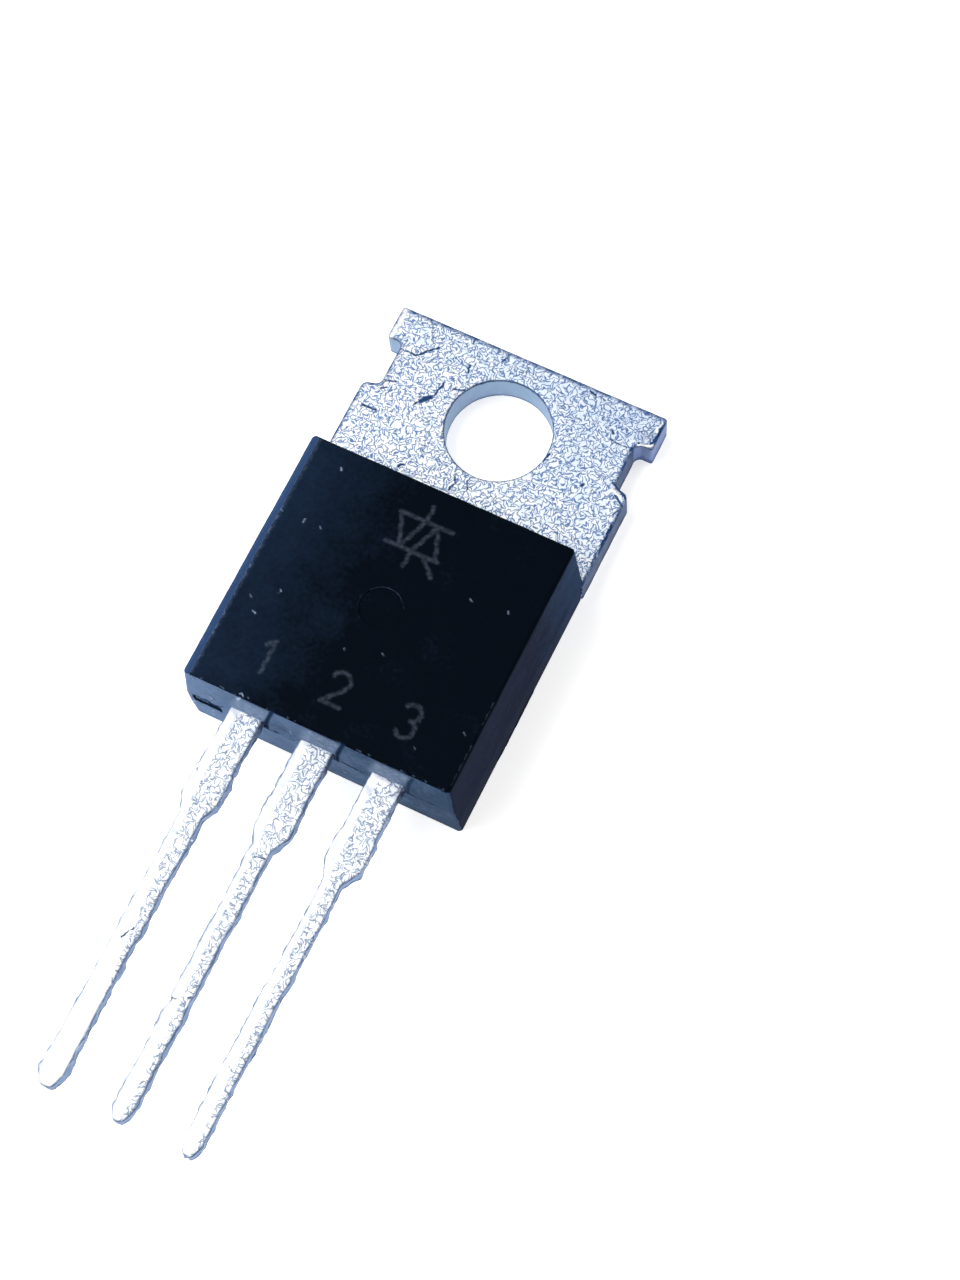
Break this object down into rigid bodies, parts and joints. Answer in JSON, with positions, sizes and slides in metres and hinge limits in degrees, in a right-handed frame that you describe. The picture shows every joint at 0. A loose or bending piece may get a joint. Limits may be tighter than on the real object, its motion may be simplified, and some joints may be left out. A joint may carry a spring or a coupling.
{
  "type": "triac",
  "caption": "Triac in a flat-backed power package: metal tab with a screw hole, drafted moulded body and straight through-hole leads.",
  "frame": {"origin": "centre of the screw hole on the back plane, the face that lies against a heatsink", "axes": "+X to the right when the front is looked at, +Y towards the tab's top edge, +Z out of the front face; the leads run towards -Y"},
  "size_m": [0.01, 0.0292, 0.0042],
  "materials": {
    "tab_plating": "matte tin plating on stamped copper, finely grained, with scratches",
    "lead_plating": "satin tin plating on stamped copper, slightly lumpy at the edges",
    "epoxy": "black moulded epoxy, matte on the front, semi-gloss on the drafted ends",
    "solder": "dull grey soft solder",
    "silicon": "silicon with a metallised upper face",
    "bond_wire": "bright aluminium wire"
  },
  "bodies": {
    "root": {"heatsink_tab": "tab_plating", "t1_lead": "lead_plating", "gate_lead": "lead_plating", "moulded_body": "epoxy", "die_solder": "solder", "triac_chip": "silicon", "t1_bond_wire": "bond_wire", "gate_bond_wire": "bond_wire"}
  },
  "joints": []
}
